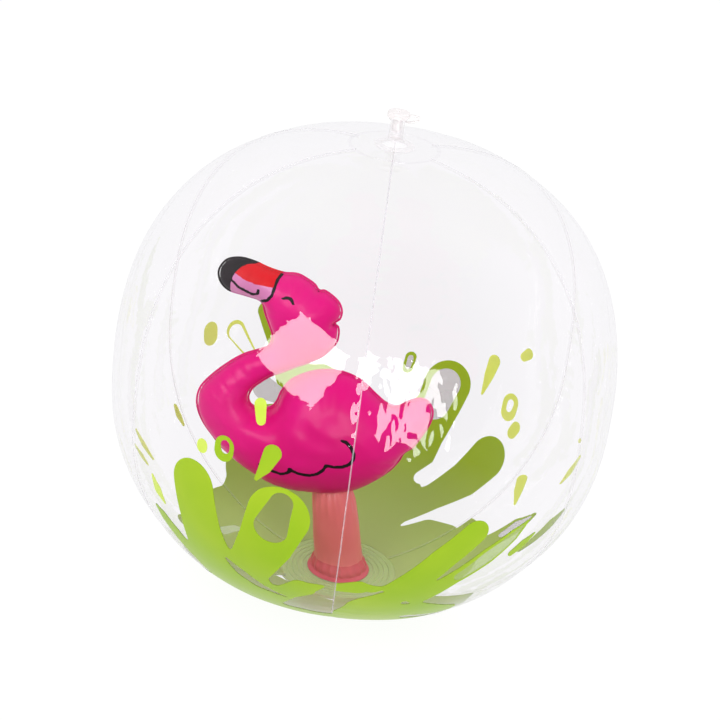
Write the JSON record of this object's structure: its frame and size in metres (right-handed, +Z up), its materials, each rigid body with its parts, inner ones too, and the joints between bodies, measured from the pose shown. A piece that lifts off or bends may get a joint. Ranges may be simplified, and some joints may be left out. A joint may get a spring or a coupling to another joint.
{
  "type": "inflatable beach ball",
  "caption": "Clear six-panel inflatable ball with a splash print and an inflated flamingo standing inside on one tube leg; soft push-in valves.",
  "frame": {"origin": "centre of the flat base disc, on the surface the ball stands on", "axes": "+Z up through the top valve; the flamingo looks towards -X; -Y is the side with the front seam"},
  "size_m": [0.33, 0.3238, 0.3307],
  "materials": {
    "clear_film": "clear soft vinyl film, high gloss",
    "clear_weld": "clear welded seam, slightly hazy",
    "clear_disc": "clear vinyl patch, gloss",
    "valve_vinyl": "translucent soft moulded vinyl",
    "coral_film": "coral printed vinyl film, gloss",
    "pink_film": "magenta printed vinyl film, gloss"
  },
  "bodies": {
    "ball": {"panel_front_right": "clear_film", "panel_right": "clear_film", "panel_rear_right": "clear_film", "panel_rear_left": "clear_film", "panel_left": "clear_film", "panel_front_left": "clear_film", "seam_front": "clear_weld", "seam_front_right": "clear_weld", "seam_rear_right": "clear_weld", "seam_rear": "clear_weld", "seam_rear_left": "clear_weld", "seam_front_left": "clear_weld", "base_disc": "clear_disc", "crown_disc": "clear_disc", "top_valve_flange": "valve_vinyl", "top_valve_web": "valve_vinyl", "base_valve_flange": "valve_vinyl", "base_valve_web": "valve_vinyl", "leg_foot": "coral_film"},
    "top_stem": {"top_valve_stem": "valve_vinyl", "top_valve_strap": "valve_vinyl"},
    "top_plug": {"top_valve_plug": "valve_vinyl"},
    "top_flap": {"top_check_flap": "valve_vinyl"},
    "base_stem": {"base_valve_stem": "valve_vinyl", "base_valve_strap": "valve_vinyl"},
    "base_plug": {"base_valve_plug": "valve_vinyl"},
    "base_flap": {"base_check_flap": "valve_vinyl"},
    "leg": {"leg_tube": "coral_film"},
    "bird": {"bird_left_sheet": "pink_film", "bird_right_sheet": "pink_film"}
  },
  "joints": [
    {"name": "top_valve_push", "type": "slide", "parent": "ball", "child": "top_stem", "axis": [0, 0, -1], "range_m": [0, 0.0145], "deforming": ["top_valve_web"]},
    {"name": "top_plug_pull", "type": "slide", "parent": "top_stem", "child": "top_plug", "axis": [0, 0, 1], "range_m": [0, 0.0115]},
    {"name": "top_flap_open", "type": "hinge", "parent": "top_stem", "child": "top_flap", "pos_m": [-0.0036, 0, 0.3132], "axis": [0, 1, 0], "range_deg": [0, 40], "stiffness_Nm_per_rad": 0.0001},
    {"name": "base_valve_pull", "type": "slide", "parent": "ball", "child": "base_stem", "axis": [0, 0, -1], "range_m": [0, 0.0165], "deforming": ["base_valve_web"]},
    {"name": "base_plug_pull", "type": "slide", "parent": "base_stem", "child": "base_plug", "axis": [0, 0, -1], "range_m": [0, 0.0115]},
    {"name": "base_flap_open", "type": "hinge", "parent": "base_stem", "child": "base_flap", "pos_m": [-0.0036, 0, 0.0184], "axis": [0, -1, 0], "range_deg": [0, 40], "stiffness_Nm_per_rad": 0.0001},
    {"name": "leg_sway", "type": "hinge", "parent": "ball", "child": "leg", "pos_m": [0, 0, 0.0045], "axis": [1, 0, 0], "range_deg": [-8, 8], "stiffness_Nm_per_rad": 0.6},
    {"name": "bird_nod", "type": "hinge", "parent": "leg", "child": "bird", "pos_m": [0, 0, 0.0555], "axis": [0, 1, 0], "range_deg": [-8, 8], "stiffness_Nm_per_rad": 0.6}
  ]
}
